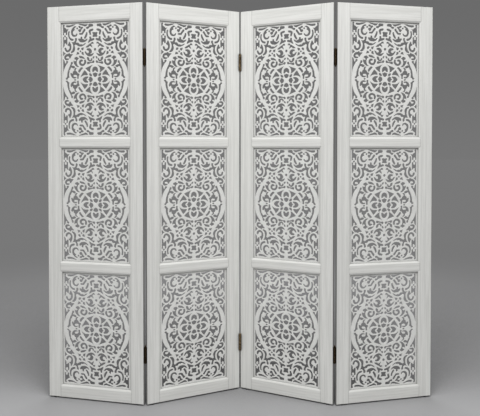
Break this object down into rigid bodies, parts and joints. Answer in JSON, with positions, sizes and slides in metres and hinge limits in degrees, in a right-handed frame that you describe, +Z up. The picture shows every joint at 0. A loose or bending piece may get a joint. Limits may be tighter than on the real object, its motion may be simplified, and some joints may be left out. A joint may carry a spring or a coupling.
{
  "type": "room divider",
  "caption": "Folding room divider: tall framed leaves with pierced scrollwork panels, hinged in a zigzag so that it stands by itself and folds flat.",
  "frame": {"origin": "on the floor, below the middle of the standing divider", "axes": "+Z up, X along the divider's width, -Y towards the side that the picture shows"},
  "size_m": [1.7966, 0.2402, 1.829],
  "materials": {
    "frame": "white paint over open grain",
    "fretwork": "white paint, satin",
    "hinges": "antique bronze",
    "screws": "antique bronze",
    "glides": "dull black"
  },
  "bodies": {
    "leaf_1": {"leaf1_bottom_fret": "fretwork", "leaf1_bottom_rail": "frame", "leaf1_glides": "glides", "leaf1_hinge_screws": "screws", "leaf1_left_stile": "frame", "leaf1_lower_mid_rail": "frame", "leaf1_middle_fret": "fretwork", "leaf1_right_stile": "frame", "leaf1_top_fret": "fretwork", "leaf1_top_rail": "frame", "leaf1_upper_mid_rail": "frame", "left_fold_lower_plate_leaf1": "hinges", "left_fold_upper_plate_leaf1": "hinges"},
    "leaf_2": {"centre_fold_lower_plate_leaf2": "hinges", "centre_fold_pins": "hinges", "centre_fold_upper_plate_leaf2": "hinges", "leaf2_bottom_fret": "fretwork", "leaf2_bottom_rail": "frame", "leaf2_glides": "glides", "leaf2_hinge_screws": "screws", "leaf2_left_stile": "frame", "leaf2_lower_mid_rail": "frame", "leaf2_middle_fret": "fretwork", "leaf2_right_stile": "frame", "leaf2_top_fret": "fretwork", "leaf2_top_rail": "frame", "leaf2_upper_mid_rail": "frame", "left_fold_lower_plate_leaf2": "hinges", "left_fold_pins": "hinges", "left_fold_upper_plate_leaf2": "hinges"},
    "leaf_3": {"centre_fold_lower_plate_leaf3": "hinges", "centre_fold_upper_plate_leaf3": "hinges", "leaf3_bottom_fret": "fretwork", "leaf3_bottom_rail": "frame", "leaf3_glides": "glides", "leaf3_hinge_screws": "screws", "leaf3_left_stile": "frame", "leaf3_lower_mid_rail": "frame", "leaf3_middle_fret": "fretwork", "leaf3_right_stile": "frame", "leaf3_top_fret": "fretwork", "leaf3_top_rail": "frame", "leaf3_upper_mid_rail": "frame", "right_fold_lower_plate_leaf3": "hinges", "right_fold_upper_plate_leaf3": "hinges"},
    "leaf_4": {"leaf4_bottom_fret": "fretwork", "leaf4_bottom_rail": "frame", "leaf4_glides": "glides", "leaf4_hinge_screws": "screws", "leaf4_left_stile": "frame", "leaf4_lower_mid_rail": "frame", "leaf4_middle_fret": "fretwork", "leaf4_right_stile": "frame", "leaf4_top_fret": "fretwork", "leaf4_top_rail": "frame", "leaf4_upper_mid_rail": "frame", "right_fold_lower_plate_leaf4": "hinges", "right_fold_pins": "hinges", "right_fold_upper_plate_leaf4": "hinges"}
  },
  "joints": [
    {"name": "left_fold", "type": "hinge", "parent": "leaf_2", "child": "leaf_1", "pos_m": [-0.4324, -0.09932, 0], "axis": [0, 0, 1], "range_deg": [-137.5, 42.5]},
    {"name": "centre_fold", "type": "hinge", "parent": "leaf_2", "child": "leaf_3", "pos_m": [0, 0.10156, 0], "axis": [0, 0, 1], "range_deg": [-123.6, 56.4]},
    {"name": "right_fold", "type": "hinge", "parent": "leaf_3", "child": "leaf_4", "pos_m": [0.4324, -0.09932, 0], "axis": [0, 0, 1], "range_deg": [-42.5, 137.5]}
  ]
}
